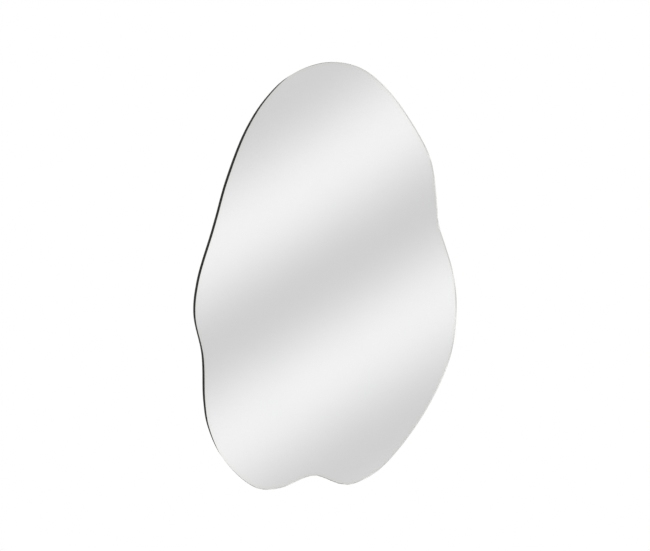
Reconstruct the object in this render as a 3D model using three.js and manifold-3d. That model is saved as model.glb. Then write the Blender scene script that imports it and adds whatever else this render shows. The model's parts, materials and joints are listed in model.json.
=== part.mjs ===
// A frameless wall mirror with an irregular, pebble-like outline. A silvered glass pane is bonded to a black
// backing board, and the board hangs on two folded strap hangers whose D rings swing on their own bars.
// Millimetres. +X is right and +Z is up for someone looking at the glass, which faces -Y. The wall is y = 0.

import * as THREE from 'three';
import { mergeVertices } from 'three/addons/utils/BufferGeometryUtils.js';
import Module from 'manifold-3d';

// Outline of the pane.
const WIDTH = 600;
const HEIGHT = 900;
const STEPS_PER_POINT = 6;

// Layers from the glass back to the wall.
const GLASS_THICKNESS = 4;
const GLASS_ARRIS = 0.4;
const FILM_THICKNESS = 0.2;
const FILM_INSET = 1.5;
const BOND_THICKNESS = 1;
const BOARD_THICKNESS = 18;
const BOARD_INSET = 0.2;
const BOARD_EDGE_ROUND = 1;
const STANDOFF = 6;

// Foam tape strips and the adhesive beads between them, all upright.
const TAPE_COUNT = 5;
const TAPE_WIDTH = 25;
const TAPE_MARGIN = 90;
const TAPE_END_MARGIN = 14;
const BEAD_WIDTH = 11;
const BEAD_END_MARGIN = 45;

// Rubber bumpers that hold the board off the wall.
const BUMPER_DIAMETER = 14;
const BUMPER_EDGE_RADIUS = 1.2;
const BUMPER_DROP = 100;
const BUMPER_MARGIN = 60;

// Strap hangers: a steel strip folded round the straight bar of a D ring and held by two screws.
const HANGER_SPACING = 300;
const HANGER_DROP = 200;
const SHEET_THICKNESS = 1;
const FOLD_GAP = 0.1;
const FOLD_BEND_RADIUS = 1;
const FOLD_CLOSING_ANGLE = 60;
const STRAP_WIDTH = 13;
const STRAP_LENGTH = 34;
const WIRE_DIAMETER = 2.6;
const WIRE_CLEARANCE = 0.3;
const RING_WIDTH = 22;
const RING_REACH = 19;
const RING_CORNER_RADIUS = 3.5;

// Pan-head screws, and the pilot holes that they turn into.
const SCREW_DIAMETER = 4;
const SCREW_LENGTH = 14;
const SCREW_TIP_LENGTH = 4;
const SCREW_CLEARANCE = 0.3;
const SCREW_HEAD_DIAMETER = 8;
const SCREW_HEAD_HEIGHT = 2.3;
const SCREW_HEAD_RIM = 0.8;
const RECESS_LENGTH = 4.4;
const RECESS_WIDTH = 1;
const RECESS_DEPTH = 1.4;
const UPPER_SCREW_DROP = 12;
const LOWER_SCREW_DROP = 26;
const PILOT_DEPTH = 12.5;
const DRILL_POINT_ANGLE = 118;

// Roundness of small turned and bent pieces: sides all round, and steps in each arc.
const ROUND_SIDES = 24;
const WIRE_SIDES = 12;
const BEND_STEPS = 6;
const EDGE_STEPS = 2;

// How far a cut starts outside what it cuts, and how near two points count as one.
const OVERCUT = 1;
const SAME_PLACE = 1e-5;

// Where each layer starts and ends, measured from the wall towards the glass.
const BOARD_BACK = -STANDOFF;
const BOARD_FRONT = BOARD_BACK - BOARD_THICKNESS;
const FILM_BACK = BOARD_FRONT - BOND_THICKNESS;
const GLASS_BACK = FILM_BACK - FILM_THICKNESS;

// The eye of a hanger, and the lean of a ring that stands up against the board.
const WIRE_RADIUS = WIRE_DIAMETER / 2;
const EYE_RADIUS = WIRE_RADIUS + WIRE_CLEARANCE;
const EYE_HEIGHT = SHEET_THICKNESS + EYE_RADIUS;
const EYE_TOP = EYE_HEIGHT + EYE_RADIUS + SHEET_THICKNESS;
const STRAP_HEIGHT = 2 * SHEET_THICKNESS + FOLD_GAP;
const RING_LEAN = Math.asin((EYE_HEIGHT - WIRE_RADIUS - WIRE_CLEARANCE) / RING_REACH);

// Points that the outline passes, anticlockwise from the top, in halves of the width and of the height.
const OUTLINE = [
  [-0.06, 0.998], [-0.317, 0.932], [-0.489, 0.824], [-0.63, 0.68], [-0.765, 0.461],
  [-0.835, 0.305], [-0.868, 0.233], [-0.966, 0.025], [-0.992, -0.121],
  [-0.944, -0.302], [-0.938, -0.51], [-0.913, -0.63], [-0.813, -0.789],
  [-0.591, -0.94], [-0.423, -0.958], [-0.219, -0.926], [-0.149, -0.928], [0.04, -0.99],
  [0.13, -1.0], [0.319, -0.963], [0.507, -0.867], [0.773, -0.657], [0.954, -0.425],
  [1.007, -0.208], [0.978, -0.001], [0.832, 0.274], [0.823, 0.332], [0.783, 0.521],
  [0.73, 0.62], [0.419, 0.885], [0.182, 0.986],
];

const materials = {
  mirror: new THREE.MeshStandardMaterial({ color: 0xe2e4e2, roughness: 0.03, metalness: 1 }),
  film: new THREE.MeshStandardMaterial({ color: 0x8f979b, roughness: 0.45, metalness: 0 }),
  foam: new THREE.MeshStandardMaterial({ color: 0x1e1e1d, roughness: 0.95, metalness: 0 }),
  adhesive: new THREE.MeshStandardMaterial({ color: 0xd8d3c4, roughness: 0.6, metalness: 0 }),
  board: new THREE.MeshStandardMaterial({ color: 0x2a2b26, roughness: 0.55, metalness: 0 }),
  zinc: new THREE.MeshStandardMaterial({ color: 0xb8bcbe, roughness: 0.35, metalness: 1 }),
  rubber: new THREE.MeshStandardMaterial({ color: 0x3a3b3d, roughness: 0.85, metalness: 0 }),
};

const wasm = await Module();
wasm.setup();

// Joins vertices that share a place, and drops the triangles that this closes up at a turned piece's axis.
function weld(geometry) {
  const bare = geometry.clone();
  bare.deleteAttribute('normal');
  bare.deleteAttribute('uv');
  const merged = mergeVertices(bare, SAME_PLACE);
  const index = merged.getIndex().array;
  const kept = [];
  for (let i = 0; i < index.length; i += 3) {
    const [a, b, c] = [index[i], index[i + 1], index[i + 2]];
    if (a !== b && b !== c && c !== a) kept.push(a, b, c);
  }
  merged.setIndex(kept);
  return merged;
}

function toSolid(geometry) {
  const welded = weld(geometry);
  const vertProperties = new Float32Array(welded.getAttribute('position').array);
  const triVerts = new Uint32Array(welded.getIndex().array);
  return new wasm.Manifold(new wasm.Mesh({ numProp: 3, vertProperties, triVerts }));
}

function toGeometry(solid) {
  const mesh = solid.getMesh();
  const geometry = new THREE.BufferGeometry();
  geometry.setAttribute('position', new THREE.BufferAttribute(new Float32Array(mesh.vertProperties), 3));
  geometry.setIndex(new THREE.BufferAttribute(new Uint32Array(mesh.triVerts), 1));
  geometry.computeVertexNormals();
  return geometry;
}

function piece(name, geometry, material, x = 0, y = 0, z = 0) {
  const mesh = new THREE.Mesh(geometry, material);
  mesh.name = name;
  mesh.position.set(x, y, z);
  return mesh;
}

// The closed outline, scaled so that its box is exactly the width and height.
function outlinePoints() {
  const anchors = OUTLINE.map(([x, z]) => new THREE.Vector3((x * WIDTH) / 2, (z * HEIGHT) / 2, 0));
  const curve = new THREE.CatmullRomCurve3(anchors, true, 'centripetal');
  const count = OUTLINE.length * STEPS_PER_POINT;
  const sampled = Array.from({ length: count }, (_, i) => curve.getPoint(i / count));
  const box = new THREE.Box3().setFromPoints(sampled);
  const centre = box.getCenter(new THREE.Vector3());
  const size = box.getSize(new THREE.Vector3());
  return sampled.map((p) => new THREE.Vector2(
    ((p.x - centre.x) * WIDTH) / size.x,
    ((p.y - centre.y) * HEIGHT) / size.y,
  ));
}

// The outline moved inwards, square to itself.
function insetOutline(points, distance) {
  return points.map((point, i) => {
    const before = points[(i + points.length - 1) % points.length];
    const after = points[(i + 1) % points.length];
    const along = after.clone().sub(before).normalize();
    return new THREE.Vector2(point.x - along.y * distance, point.y + along.x * distance);
  });
}

// Lowest and highest crossing of the outline with a line where the given axis has the given value.
function crossings(points, axis, value) {
  const other = axis === 'x' ? 'y' : 'x';
  const found = [];
  points.forEach((p, i) => {
    const q = points[(i + 1) % points.length];
    if ((p[axis] < value) !== (q[axis] < value)) {
      found.push(p[other] + ((q[other] - p[other]) * (value - p[axis])) / (q[axis] - p[axis]));
    }
  });
  return [Math.min(...found), Math.max(...found)];
}

// The middle of the outlined area, which the hangers straddle so that the mirror hangs plumb.
function centreOfArea(points) {
  let doubleArea = 0;
  let moment = 0;
  points.forEach((p, i) => {
    const q = points[(i + 1) % points.length];
    const cross = p.x * q.y - q.x * p.y;
    doubleArea += cross;
    moment += (p.x + q.x) * cross;
  });
  return moment / (3 * doubleArea);
}

// A flat plate drawn in x and z. Its back is at y = 0, its thickness goes towards the viewer,
// and its edges are eased on both faces without changing the outline's size.
function plate(points, thickness, easing = 0, easingSteps = 1) {
  const geometry = new THREE.ExtrudeGeometry(new THREE.Shape(points), {
    depth: thickness - 2 * easing,
    bevelEnabled: easing > 0,
    bevelThickness: easing,
    bevelSize: easing,
    bevelOffset: -easing,
    bevelSegments: easingSteps,
  });
  geometry.translate(0, 0, easing);
  geometry.rotateX(Math.PI / 2);
  return geometry;
}

function mirrorGlass(outline) {
  return piece('mirror_glass', plate(outline, GLASS_THICKNESS, GLASS_ARRIS), materials.mirror, 0, GLASS_BACK);
}

function safetyFilm(outline) {
  const geometry = plate(insetOutline(outline, FILM_INSET), FILM_THICKNESS);
  return piece('safety_film', geometry, materials.film, 0, FILM_BACK);
}

// The upright span between the outline's lower and upper edge that a strip of the given width can fill.
function uprightSpan(outline, x, width, endMargin) {
  const columns = [-width / 2, 0, width / 2].map((aside) => crossings(outline, 'x', x + aside));
  return [
    Math.max(...columns.map((column) => column[0])) + endMargin,
    Math.min(...columns.map((column) => column[1])) - endMargin,
  ];
}

const TAPE_PITCH = (WIDTH - 2 * TAPE_MARGIN) / (TAPE_COUNT - 1);

function foamTapes(outline) {
  return Array.from({ length: TAPE_COUNT }, (_, i) => {
    const x = -WIDTH / 2 + TAPE_MARGIN + i * TAPE_PITCH;
    const [low, high] = uprightSpan(outline, x, TAPE_WIDTH, TAPE_END_MARGIN);
    const geometry = new THREE.BoxGeometry(TAPE_WIDTH, BOND_THICKNESS, high - low);
    const y = BOARD_FRONT - BOND_THICKNESS / 2;
    return piece(`foam_tape_${i + 1}`, geometry, materials.foam, x, y, (low + high) / 2);
  });
}

function adhesiveBeads(outline) {
  const radius = BEAD_WIDTH / 2;
  return Array.from({ length: TAPE_COUNT - 1 }, (_, i) => {
    const x = -WIDTH / 2 + TAPE_MARGIN + (i + 0.5) * TAPE_PITCH;
    const [low, high] = uprightSpan(outline, x, BEAD_WIDTH, BEAD_END_MARGIN);
    const path = new THREE.Path();
    path.absarc(0, high - radius, radius, 0, Math.PI, false);
    path.absarc(0, low + radius, radius, Math.PI, 2 * Math.PI, false);
    const geometry = plate(path.getPoints(BEND_STEPS), BOND_THICKNESS);
    return piece(`adhesive_bead_${i + 1}`, geometry, materials.adhesive, x, BOARD_FRONT);
  });
}

// Drops points that lie on the point before them.
function tidyPoints(points) {
  return points.filter((point, i) => i === 0 || point.distanceTo(points[i - 1]) > SAME_PLACE);
}

// A solid turned round the y axis from a profile that starts and ends on that axis.
function turned(profile) {
  return new THREE.LatheGeometry(tidyPoints(profile.getPoints(EDGE_STEPS)), ROUND_SIDES);
}

// Where the two hangers' eyes are: side name, x and z.
function hangerPlaces(outline) {
  const middle = centreOfArea(outline);
  const z = HEIGHT / 2 - HANGER_DROP;
  return [
    { side: 'left', x: middle - HANGER_SPACING / 2, z },
    { side: 'right', x: middle + HANGER_SPACING / 2, z },
  ];
}

// A pilot hole with the cone that a drill's point leaves, going down from y = 0.
function pilotHole() {
  const radius = SCREW_DIAMETER / 2 + SCREW_CLEARANCE;
  const cone = radius / Math.tan(THREE.MathUtils.degToRad(DRILL_POINT_ANGLE / 2));
  const profile = new THREE.Path();
  profile.moveTo(0, -PILOT_DEPTH - cone);
  profile.lineTo(radius, -PILOT_DEPTH);
  profile.lineTo(radius, OVERCUT);
  profile.lineTo(0, OVERCUT);
  return turned(profile);
}

// The board is one sheet with eased edges and four blind pilot holes in its back.
function backingBoard(outline) {
  const sheet = plate(insetOutline(outline, BOARD_INSET), BOARD_THICKNESS, BOARD_EDGE_ROUND, EDGE_STEPS);
  let board = toSolid(sheet);
  for (const place of hangerPlaces(outline)) {
    for (const drop of [UPPER_SCREW_DROP, LOWER_SCREW_DROP]) {
      const hole = pilotHole();
      hole.translate(place.x, 0, place.z - drop);
      board = board.subtract(toSolid(hole));
    }
  }
  return piece('backing_board', toGeometry(board), materials.board, 0, BOARD_BACK);
}

// Four round bumpers, one near each end of a level line across the top and across the bottom.
function bumpers(outline) {
  const radius = BUMPER_DIAMETER / 2;
  const shoulder = STANDOFF - BUMPER_EDGE_RADIUS;
  const profile = new THREE.Path();
  profile.moveTo(0, 0);
  profile.lineTo(radius, 0);
  profile.lineTo(radius, shoulder);
  profile.absarc(radius - BUMPER_EDGE_RADIUS, shoulder, BUMPER_EDGE_RADIUS, 0, Math.PI / 2, false);
  profile.lineTo(0, STANDOFF);
  const made = [];
  for (const [level, z] of [['top', HEIGHT / 2 - BUMPER_DROP], ['bottom', BUMPER_DROP - HEIGHT / 2]]) {
    const [left, right] = crossings(outline, 'y', z);
    for (const [side, x] of [['left', left + BUMPER_MARGIN], ['right', right - BUMPER_MARGIN]]) {
      made.push(piece(`bumper_${level}_${side}`, turned(profile), materials.rubber, x, BOARD_BACK, z));
    }
  }
  return made;
}

// The middle line of the folded strip, seen from its side: x is the height off the board, y is up the board.
// It runs up the board, round the ring's bar, and back down on top of itself.
function foldLine() {
  const bendRadius = EYE_RADIUS + SHEET_THICKNESS / 2;
  const closing = THREE.MathUtils.degToRad(FOLD_CLOSING_ANGLE);
  const reverseRadius = FOLD_BEND_RADIUS + SHEET_THICKNESS / 2;
  const topLayer = STRAP_HEIGHT - SHEET_THICKNESS / 2;
  const leave = new THREE.Vector2(
    EYE_HEIGHT + bendRadius * Math.cos(closing),
    -bendRadius * Math.sin(closing),
  );
  const drop = reverseRadius * (1 - Math.cos(closing));
  const slope = (leave.x - drop - topLayer) / Math.sin(closing);
  const reverseStart = new THREE.Vector2(topLayer + drop, leave.y - slope * Math.cos(closing));
  const reverseCentre = new THREE.Vector2(
    topLayer + reverseRadius,
    reverseStart.y - reverseRadius * Math.sin(closing),
  );
  const path = new THREE.Path();
  path.moveTo(SHEET_THICKNESS / 2, -STRAP_LENGTH);
  path.lineTo(SHEET_THICKNESS / 2, 0);
  path.absarc(EYE_HEIGHT, 0, bendRadius, Math.PI, -closing, true);
  path.absarc(reverseCentre.x, reverseCentre.y, reverseRadius, Math.PI - closing, Math.PI, false);
  path.lineTo(topLayer, -STRAP_LENGTH);
  return tidyPoints(path.getPoints(2 * BEND_STEPS));
}

// A strip of even thickness along a line, as the outline of its cut edge.
function stripOutline(line, thickness) {
  const side = (direction) => line.map((point, i) => {
    const before = line[Math.max(i - 1, 0)];
    const after = line[Math.min(i + 1, line.length - 1)];
    const into = point.clone().sub(before).normalize();
    const out = after.clone().sub(point).normalize();
    const along = into.clone().add(out).normalize();
    const stretch = Math.max(along.dot(into), along.dot(out));
    const reach = (direction * thickness) / 2 / stretch;
    return new THREE.Vector2(point.x - along.y * reach, point.y + along.x * reach);
  });
  return [...side(1), ...side(-1).reverse()];
}

// The strap: the folded strip, trimmed to a round lower end and drilled through both layers.
function hangerStrap() {
  const radius = STRAP_WIDTH / 2;
  const section = new THREE.ExtrudeGeometry(new THREE.Shape(stripOutline(foldLine(), SHEET_THICKNESS)), {
    depth: STRAP_WIDTH,
    bevelEnabled: false,
  });
  section.translate(0, 0, -radius);
  const turn = new THREE.Matrix4().makeBasis(
    new THREE.Vector3(0, 1, 0),
    new THREE.Vector3(0, 0, 1),
    new THREE.Vector3(1, 0, 0),
  );
  section.applyMatrix4(turn);
  const blank = new THREE.Path();
  blank.moveTo(radius, EYE_TOP);
  blank.lineTo(-radius, EYE_TOP);
  blank.absarc(0, radius - STRAP_LENGTH, radius, Math.PI, 2 * Math.PI, false);
  const trim = plate(tidyPoints(blank.getPoints(2 * BEND_STEPS)), EYE_TOP + 2 * OVERCUT);
  trim.translate(0, EYE_TOP + OVERCUT, 0);
  let strap = toSolid(section).intersect(toSolid(trim));
  const holeRadius = SCREW_DIAMETER / 2 + SCREW_CLEARANCE;
  for (const drop of [UPPER_SCREW_DROP, LOWER_SCREW_DROP]) {
    const hole = new THREE.CylinderGeometry(holeRadius, holeRadius, 2 * EYE_TOP, ROUND_SIDES);
    hole.translate(0, 0, -drop);
    strap = strap.subtract(toSolid(hole));
  }
  return toGeometry(strap);
}

// The D ring's wire, closed on itself: the straight bar in the eye, two corners and a round bow.
function ringLine() {
  const half = RING_WIDTH / 2;
  const corner = RING_CORNER_RADIUS;
  const path = new THREE.Path();
  path.absarc(half - corner, corner, corner, -Math.PI / 2, 0, false);
  path.absarc(0, RING_REACH - half, half, 0, Math.PI, false);
  path.absarc(corner - half, corner, corner, Math.PI, 1.5 * Math.PI, false);
  return tidyPoints(path.getPoints(BEND_STEPS));
}

// A round wire along a closed flat line: rings of points across the wire, joined all the way round.
function closedWire(line, radius, sides) {
  const positions = [];
  line.forEach((point, i) => {
    const before = line[(i + line.length - 1) % line.length];
    const after = line[(i + 1) % line.length];
    const along = after.clone().sub(before).normalize();
    for (let k = 0; k < sides; k += 1) {
      const angle = (2 * Math.PI * k) / sides;
      const across = radius * Math.cos(angle);
      positions.push(point.x + along.y * across, radius * Math.sin(angle), point.y - along.x * across);
    }
  });
  const index = [];
  for (let i = 0; i < line.length; i += 1) {
    const next = (i + 1) % line.length;
    for (let k = 0; k < sides; k += 1) {
      const beside = (k + 1) % sides;
      const [a, b] = [i * sides + k, i * sides + beside];
      const [c, d] = [next * sides + beside, next * sides + k];
      index.push(a, b, c, a, c, d);
    }
  }
  const geometry = new THREE.BufferGeometry();
  geometry.setAttribute('position', new THREE.Float32BufferAttribute(positions, 3));
  geometry.setIndex(index);
  geometry.computeVertexNormals();
  return geometry;
}

// A pan-head wood screw that points into the board, with a cross recess in its head.
function screwGeometry() {
  const radius = SCREW_DIAMETER / 2;
  const headRadius = SCREW_HEAD_DIAMETER / 2;
  const crown = SCREW_HEAD_HEIGHT - SCREW_HEAD_RIM;
  const profile = new THREE.Path();
  profile.moveTo(0, -SCREW_LENGTH);
  profile.lineTo(radius, SCREW_TIP_LENGTH - SCREW_LENGTH);
  profile.lineTo(radius, 0);
  profile.lineTo(headRadius, 0);
  profile.absellipse(0, SCREW_HEAD_RIM, headRadius, crown, 0, Math.PI / 2, false, 0);
  let screw = toSolid(turned(profile));
  for (const [x, z] of [[RECESS_LENGTH, RECESS_WIDTH], [RECESS_WIDTH, RECESS_LENGTH]]) {
    const slot = new THREE.BoxGeometry(x, 2 * RECESS_DEPTH, z);
    slot.translate(0, SCREW_HEAD_HEIGHT, 0);
    screw = screw.subtract(toSolid(slot));
  }
  return toGeometry(screw);
}

// One hanger on the back of the board, with its origin on the board below the ring's axis.
function hanger({ side, x, z }) {
  const group = new THREE.Group();
  group.position.set(x, BOARD_BACK, z);
  group.add(piece(`hanger_strap_${side}`, hangerStrap(), materials.zinc));
  const wire = closedWire(ringLine(), WIRE_RADIUS, WIRE_SIDES);
  const ring = piece(`d_ring_${side}`, wire, materials.zinc, 0, EYE_HEIGHT);
  ring.rotation.x = RING_LEAN;
  group.add(ring);
  for (const [level, drop] of [['upper', UPPER_SCREW_DROP], ['lower', LOWER_SCREW_DROP]]) {
    const name = `hanger_screw_${side}_${level}`;
    group.add(piece(name, screwGeometry(), materials.zinc, 0, STRAP_HEIGHT, -drop));
  }
  return group;
}

const outline = outlinePoints();
const mirror = new THREE.Group();
mirror.add(
  mirrorGlass(outline),
  safetyFilm(outline),
  ...foamTapes(outline),
  ...adhesiveBeads(outline),
  backingBoard(outline),
  ...bumpers(outline),
  ...hangerPlaces(outline).map(hanger),
);

export default mirror;
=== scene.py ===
# A frameless wall mirror with an irregular outline, finished for rendering around its packed construction.
# Metres, with +X right and +Z up for someone looking at the glass, which faces -Y. The wall is y = 0.

import json
import math

import bmesh
import bpy
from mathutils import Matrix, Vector
from mathutils.geometry import interpolate_bezier


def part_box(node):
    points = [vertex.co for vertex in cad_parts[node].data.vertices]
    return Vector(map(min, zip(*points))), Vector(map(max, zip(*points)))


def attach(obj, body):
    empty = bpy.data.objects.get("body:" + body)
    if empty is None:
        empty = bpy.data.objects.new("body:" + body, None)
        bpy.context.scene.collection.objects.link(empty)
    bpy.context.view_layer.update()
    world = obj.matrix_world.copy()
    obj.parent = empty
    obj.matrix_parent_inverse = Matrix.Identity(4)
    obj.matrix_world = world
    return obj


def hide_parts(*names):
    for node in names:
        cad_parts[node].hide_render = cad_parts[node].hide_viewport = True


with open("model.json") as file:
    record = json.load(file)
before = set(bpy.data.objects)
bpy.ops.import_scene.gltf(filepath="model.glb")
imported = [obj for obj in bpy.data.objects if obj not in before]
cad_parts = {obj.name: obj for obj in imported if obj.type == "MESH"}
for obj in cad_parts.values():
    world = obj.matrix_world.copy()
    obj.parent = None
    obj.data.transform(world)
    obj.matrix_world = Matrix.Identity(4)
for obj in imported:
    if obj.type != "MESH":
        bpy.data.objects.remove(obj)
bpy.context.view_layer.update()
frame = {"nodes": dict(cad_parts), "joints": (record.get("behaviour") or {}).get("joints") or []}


# ----------------------------------------------------------------------------------------------------------
# Backing board. One sheet of medium-density fibreboard, routed to the mirror's outline with both edges eased
# by a small round, and sprayed all over with satin black lacquer. Four pilot holes are drilled in its back.
# ----------------------------------------------------------------------------------------------------------

MM = 0.001
SAME_LEVEL = 1e-6
SHARP_ANGLE = math.radians(28)
OUTLINE_STEPS = 4
OUTLINE_ROOM = 0.1 * MM

BOARD_EDGE_ROUND = 1.0 * MM
# Within this depth of either face, the eased edge gets the lighter grey: partly wear, partly a painted edge
# highlight.
WORN_AND_HIGHLIT_DEPTH = 0.9 * MM
EASING_STEPS = 6
PILOT_RADIUS = 2.3 * MM
PILOT_DEPTH = 12.5 * MM
DRILL_POINT = 1.4 * MM
DRILL_SIDES = 32


def outline_of(node):
    """The outline of a CAD plate at its widest level, as (x, z) points anticlockwise from its left."""
    vertices = frame["nodes"][node].data.vertices
    level = max(vertices, key=lambda vertex: vertex.co.x).co.y
    places = {(v.co.x, v.co.z) for v in vertices if abs(v.co.y - level) < SAME_LEVEL}
    round_middle = sorted(places, key=lambda place: math.atan2(place[1], place[0]))
    return [Vector(place) for place in round_middle]


def smooth_outline(node):
    """A closed smooth curve through a CAD plate's outline, kept OUTLINE_ROOM inside its corners."""
    points = outline_of(node)
    count = len(points)
    chords = [points[(i + 1) % count] - points[i] for i in range(count)]
    slopes = []
    for before, after in zip(chords[-1:] + chords, chords):
        shares = before * (after.length / before.length) + after * (before.length / after.length)
        slopes.append(shares / (before.length + after.length))
    ring = []
    for i, chord in enumerate(chords):
        start, end = points[i], points[(i + 1) % count]
        leaving = start + slopes[i] * chord.length / 3
        arriving = end - slopes[(i + 1) % count] * chord.length / 3
        ring += interpolate_bezier(start, leaving, arriving, end, OUTLINE_STEPS + 1)[:-1]
    return moved_in(ring, OUTLINE_ROOM)


def moved_in(ring, inset):
    """The ring moved inwards by that distance, square to itself."""
    moved = []
    for i, point in enumerate(ring):
        along = (ring[(i + 1) % len(ring)] - ring[i - 1]).normalized()
        moved.append(point + Vector((-along.y, along.x)) * inset)
    return moved


def arc(centre, radius, start, end, steps):
    """Points on an arc from one angle to another, in degrees."""
    turns = [math.radians(start + (end - start) * step / steps) for step in range(steps + 1)]
    return [Vector(centre) + radius * Vector((math.cos(turn), math.sin(turn))) for turn in turns]


def loft(rings):
    """A closed skin over rings of equally many points, with a flat cap on the first and on the last."""
    skin = bmesh.new()
    loops = [[skin.verts.new(point) for point in ring] for ring in rings]
    for near, far in zip(loops, loops[1:]):
        for i in range(len(near)):
            skin.faces.new((near[i - 1], near[i], far[i], far[i - 1])).smooth = True
    skin.faces.new(loops[0])
    skin.faces.new(loops[-1])
    bmesh.ops.recalc_face_normals(skin, faces=skin.faces)
    return skin


def plate(ring, layers):
    """A skin over an (x, z) outline, moved in by each layer's inset at that layer's y."""
    return loft([[(p.x, y, p.y) for p in moved_in(ring, inset)] for inset, y in layers])


def turned(profile, sides, x=0.0, z=0.0):
    """A skin turned round an axis along Y, from (radius, y) points."""
    circles = [(arc((x, z), radius, 0, 360, sides)[:-1], y) for radius, y in profile]
    return loft([[(p.x, y, p.y) for p in circle] for circle, y in circles])


def eased(inset, y_back, y_front, radius, steps):
    """The layers of a plate whose edge is rounded at the back and at the front."""
    back = arc((inset + radius, y_back - radius), radius, 90, 180, steps)
    front = arc((inset + radius, y_front + radius), radius, 180, 270, steps)
    return back + front


def made(name, skin):
    """The object of a finished skin, with a crease wherever its faces meet at more than SHARP_ANGLE."""
    for edge in skin.edges:
        edge.smooth = edge.calc_face_angle(0) < SHARP_ANGLE
    mesh = bpy.data.meshes.new(name)
    skin.to_mesh(mesh)
    skin.free()
    piece = bpy.data.objects.new(name, mesh)
    bpy.context.scene.collection.objects.link(piece)
    return piece


def settle(piece):
    """Turns what the piece's modifiers make into its plain mesh, shaded by its larger faces."""
    weighted = piece.modifiers.new("shading", "WEIGHTED_NORMAL")
    weighted.keep_sharp = True
    evaluated = piece.evaluated_get(bpy.context.evaluated_depsgraph_get())
    mesh = bpy.data.meshes.new_from_object(evaluated)
    piece.modifiers.clear()
    piece.data = mesh


def cut_out(piece, cutters):
    """Cuts the cutters out of the piece and takes them away."""
    for cutter in cutters:
        cut = piece.modifiers.new(cutter.name, "BOOLEAN")
        cut.solver = "EXACT"
        cut.object = cutter
    settle(piece)
    for cutter in cutters:
        bpy.data.objects.remove(cutter)


def linear(code):
    """The linear colour of an sRGB hex value."""
    channels = [int(code[i:i + 2], 16) / 255 for i in (1, 3, 5)]
    return [c / 12.92 if c <= 0.04045 else ((c + 0.055) / 1.055) ** 2.4 for c in channels] + [1.0]


def add_node(tree, kind, inputs=(), stops=(), **settings):
    """Adds a node with its settings, its colour stops, and its inputs as (name, what goes in) pairs.
    What goes in is a value, a socket, or a node whose first output is meant."""
    node = tree.nodes.new(kind)
    for name, value in settings.items():
        setattr(node, name, value)
    free = [socket for socket in node.inputs if socket.enabled]
    for name, value in inputs:
        socket = next(s for s in free if s.name == name)
        free.remove(socket)
        if isinstance(value, bpy.types.Node):
            value = next(s for s in value.outputs if s.enabled)
        if isinstance(value, bpy.types.NodeSocket):
            tree.links.new(value, socket)
        else:
            socket.default_value = value
    for stop, (position, code) in enumerate(stops):
        node.color_ramp.elements[stop].position = position
        node.color_ramp.elements[stop].color = linear(code)
    return node


def new_finish(name):
    """An empty material, its node tree, and the place on the piece in metres."""
    material = bpy.data.materials.new(name)
    material.use_nodes = True
    material.node_tree.nodes.clear()
    place = add_node(material.node_tree, "ShaderNodeTexCoord").outputs["Object"]
    return material, material.node_tree, place


def black_lacquer():
    """Satin nitrocellulose lacquer, sprayed on fibreboard. It is an even near-black with the shallow orange
    peel that a spray gun leaves, and lighter grey in patches on the eased edges, partly wear from handling
    and partly a painted highlight along the edges."""
    peel_size, cloud_size, scuff_and_highlight_size = 1.6 * MM, 90 * MM, 4 * MM
    material, tree, place = new_finish("satin_black_lacquer")
    cloud = add_node(tree, "ShaderNodeTexNoise", [
        ("Vector", place), ("Scale", 1 / cloud_size), ("Detail", 5)])
    tone = add_node(tree, "ShaderNodeValToRGB", [("Fac", cloud)], [(0.36, "#20211B"), (0.66, "#23241E")])
    scuff_and_highlight = add_node(tree, "ShaderNodeTexNoise", [
        ("Vector", place), ("Scale", 1 / scuff_and_highlight_size), ("Detail", 6)])
    patchy = add_node(tree, "ShaderNodeMapRange", [
        ("Value", scuff_and_highlight), ("From Min", 0.52), ("From Max", 0.72)])
    # The eased edges are painted lighter grey in patches: partly wear from handling, partly a painted
    # highlight along the edges.
    rim = add_node(tree, "ShaderNodeAttribute", attribute_name="rubbed_and_highlit_edge").outputs["Fac"]
    worn_and_highlit = add_node(tree, "ShaderNodeMath", [("Value", patchy), ("Value", rim)], operation="MULTIPLY")
    colour = add_node(tree, "ShaderNodeMix", [
        ("Factor", worn_and_highlit), ("A", tone.outputs["Color"]), ("B", linear("#3A3935"))], data_type="RGBA")
    gloss = add_node(tree, "ShaderNodeMapRange", [("Value", cloud), ("To Min", 0.43), ("To Max", 0.49)])
    peel = add_node(tree, "ShaderNodeTexNoise", [
        ("Vector", place), ("Scale", 1 / peel_size), ("Detail", 1)])
    relief = add_node(tree, "ShaderNodeBump", [
        ("Height", peel), ("Strength", 0.5), ("Distance", 0.03 * MM)])
    skin = add_node(tree, "ShaderNodeBsdfPrincipled", [
        ("Base Color", colour), ("Roughness", gloss), ("Normal", relief), ("Specular IOR Level", 0.15)])
    add_node(tree, "ShaderNodeOutputMaterial", [("Surface", skin)])
    return material


def middle_of(node):
    """The middle of a CAD node's box."""
    low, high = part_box(node)
    return (low + high) / 2


SCREWS = sorted(name for name in frame["nodes"] if name.startswith("hanger_screw"))
board_front, board_back = (corner.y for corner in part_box("backing_board"))

board = made("lacquered_board", plate(
    smooth_outline("backing_board"), eased(0, board_back, board_front, BOARD_EDGE_ROUND, EASING_STEPS)))
drill_profile = [
    (PILOT_RADIUS, board_back + PILOT_RADIUS), (PILOT_RADIUS, board_back - PILOT_DEPTH),
    (DRILL_POINT / DRILL_SIDES, board_back - PILOT_DEPTH - DRILL_POINT)]
cut_out(board, [
    made(f"drill_{name}", turned(drill_profile, DRILL_SIDES, middle_of(name).x, middle_of(name).z))
    for name in SCREWS])

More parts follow.
